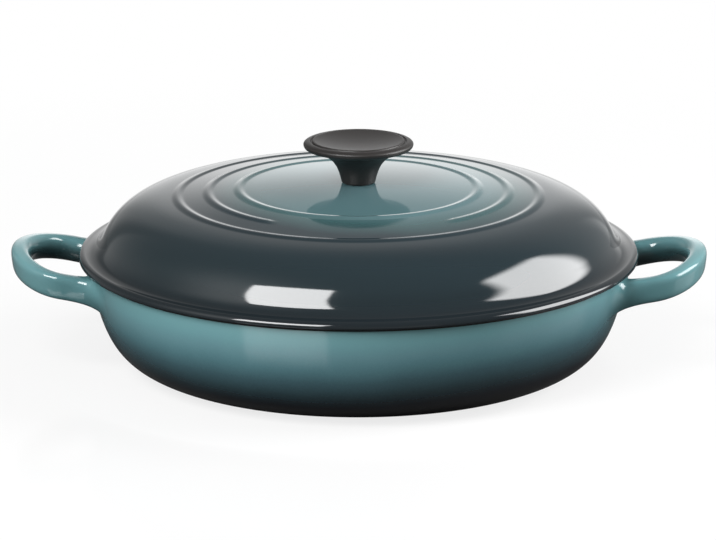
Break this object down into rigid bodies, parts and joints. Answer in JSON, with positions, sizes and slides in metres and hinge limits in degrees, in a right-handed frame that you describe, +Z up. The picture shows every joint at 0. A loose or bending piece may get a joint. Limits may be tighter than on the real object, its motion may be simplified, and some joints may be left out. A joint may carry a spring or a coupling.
{
  "type": "shallow casserole",
  "caption": "Round shallow enamelled cast iron casserole with loop handles, a domed ridged lid that lifts off the rim, and a mushroom knob screwed to the lid.",
  "frame": {"origin": "middle of the base, on the surface that the casserole stands on", "axes": "+Z up along the axis of the bowl, X through the two handles, -Y towards the front, where the second ridge of the lid is open"},
  "size_m": [0.3806, 0.306, 0.1252],
  "materials": {
    "pot_enamel": "gloss vitreous enamel over cast iron, shaded from teal at the rim to black at the base",
    "lid_enamel": "gloss vitreous enamel over cast iron, teal in the middle and dark slate towards the brim",
    "knob_phenolic": "satin moulded phenolic",
    "insert_brass": "turned",
    "screw_steel": "stainless, plain",
    "washer_steel": "stainless, plain"
  },
  "bodies": {
    "pot": {"pot": "pot_enamel"},
    "lid": {"lid": "lid_enamel", "knob": "knob_phenolic", "knob_insert": "insert_brass", "knob_screw": "screw_steel", "knob_washer": "washer_steel"}
  },
  "joints": [
    {"name": "lid_lift", "type": "slide", "parent": "pot", "child": "lid", "axis": [0, 0, 1], "range_m": [0, 0.12]}
  ]
}
